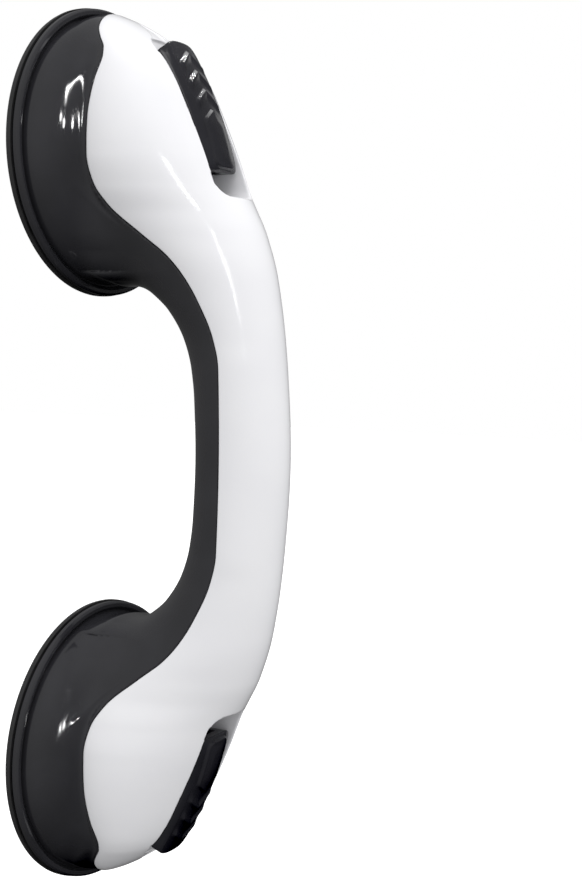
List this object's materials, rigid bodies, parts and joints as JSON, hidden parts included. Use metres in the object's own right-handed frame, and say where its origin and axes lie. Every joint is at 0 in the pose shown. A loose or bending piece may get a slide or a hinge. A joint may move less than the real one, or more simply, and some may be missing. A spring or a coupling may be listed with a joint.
{
  "type": "suction grab bar",
  "caption": "Bowed grab bar on round suction cups, each drawn tight to a smooth wall by a flip-down cam lever in the end of the bar.",
  "frame": {"origin": "on the wall plane, midway between the centres of the two cups", "axes": "+Z along the bar towards the upper cup, +Y into the wall, X across the bar"},
  "size_m": [0.097, 0.0757, 0.301],
  "materials": {
    "cover_white": "glossy moulded ABS",
    "shell_black": "glossy moulded ABS",
    "lever_black": "glossy with satin ribs",
    "rubber_black": "smooth soft rubber",
    "carrier_nylon": "glass-filled nylon",
    "steel": "plain zinc-plated steel",
    "spring_steel": "drawn spring wire"
  },
  "bodies": {
    "bar": {"upper_cover": "cover_white", "lower_shell": "shell_black", "cam_plate_upper": "steel", "housing_screws_upper": "steel", "suction_pad_upper": "rubber_black", "return_spring_upper": "spring_steel", "cam_plate_lower": "steel", "housing_screws_lower": "steel", "suction_pad_lower": "rubber_black", "return_spring_lower": "spring_steel"},
    "carrier_upper": {"pad_carrier_upper": "carrier_nylon", "pivot_pin_upper": "steel", "pin_clips_upper": "steel", "spring_washer_upper": "steel"},
    "lever_upper": {"lever_upper": "lever_black"},
    "carrier_lower": {"pad_carrier_lower": "carrier_nylon", "pivot_pin_lower": "steel", "pin_clips_lower": "steel", "spring_washer_lower": "steel"},
    "lever_lower": {"lever_lower": "lever_black"}
  },
  "joints": [
    {"name": "carrier_slide_upper", "type": "slide", "parent": "bar", "child": "carrier_upper", "axis": [0, 1, 0], "range_m": [0, 0.0035], "deforming": ["suction_pad_upper", "return_spring_upper"]},
    {"name": "lever_hinge_upper", "type": "hinge", "parent": "carrier_upper", "child": "lever_upper", "pos_m": [0, -0.042, 0.102], "axis": [1, 0, 0], "range_deg": [0, 90]},
    {"name": "carrier_slide_lower", "type": "slide", "parent": "bar", "child": "carrier_lower", "axis": [0, 1, 0], "range_m": [0, 0.0035], "deforming": ["suction_pad_lower", "return_spring_lower"]},
    {"name": "lever_hinge_lower", "type": "hinge", "parent": "carrier_lower", "child": "lever_lower", "pos_m": [0, -0.042, -0.102], "axis": [-1, 0, 0], "range_deg": [0, 90]}
  ],
  "couplings": [
    {"joint": "carrier_slide_upper", "follows": "lever_hinge_upper", "m_per_rad": 0.0022282},
    {"joint": "carrier_slide_lower", "follows": "lever_hinge_lower", "m_per_rad": 0.0022282}
  ]
}
